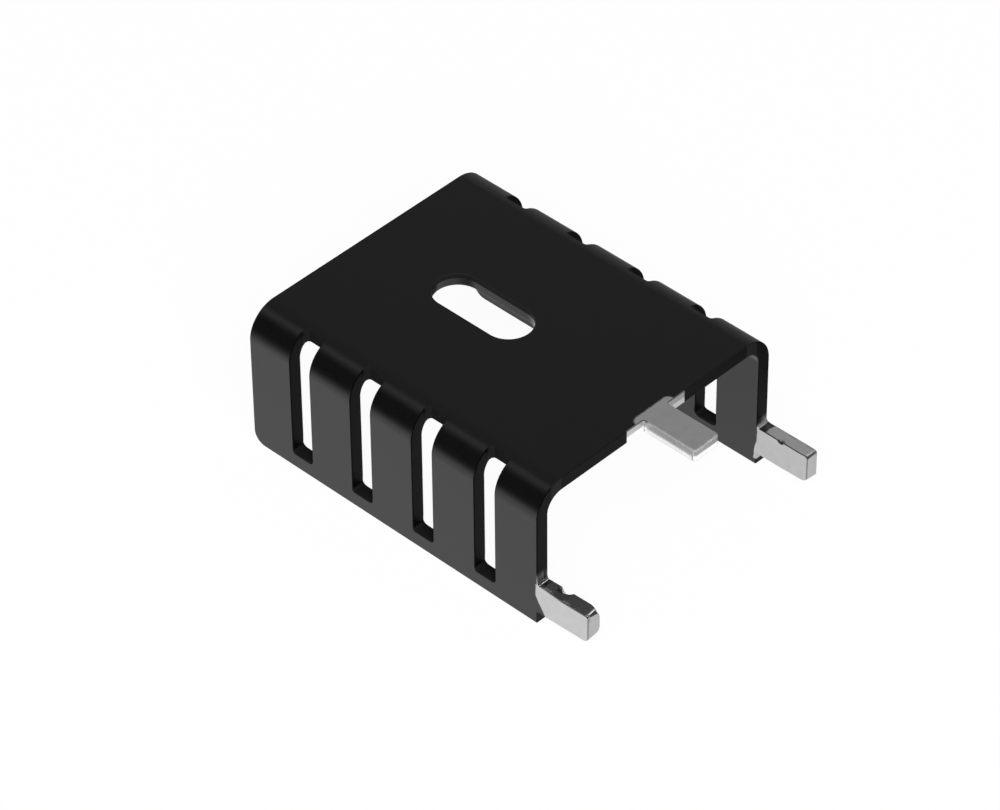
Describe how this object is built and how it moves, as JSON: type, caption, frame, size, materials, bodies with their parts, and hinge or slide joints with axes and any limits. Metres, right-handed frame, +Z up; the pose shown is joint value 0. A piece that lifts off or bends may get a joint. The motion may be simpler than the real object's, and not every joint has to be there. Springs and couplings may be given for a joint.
{
  "type": "heat sink",
  "caption": "Channel heat sink folded from black anodised sheet aluminium, with slotted side walls, a screw slot in its base and tinned solder tabs for a circuit board.",
  "frame": {"origin": "middle of the whole outline seen from above, solder tabs included, at the height of the free edges of the side walls", "axes": "+Z up from the free edges to the base, -Y along the channel towards the solder tabs, +X across the channel to the right-hand wall"},
  "size_m": [0.0254, 0.035, 0.0127],
  "materials": {
    "sheet": "satin black anodised, solder tabs tinned bright grey"
  },
  "bodies": {
    "root": {"heat_sink": "sheet"}
  },
  "joints": []
}
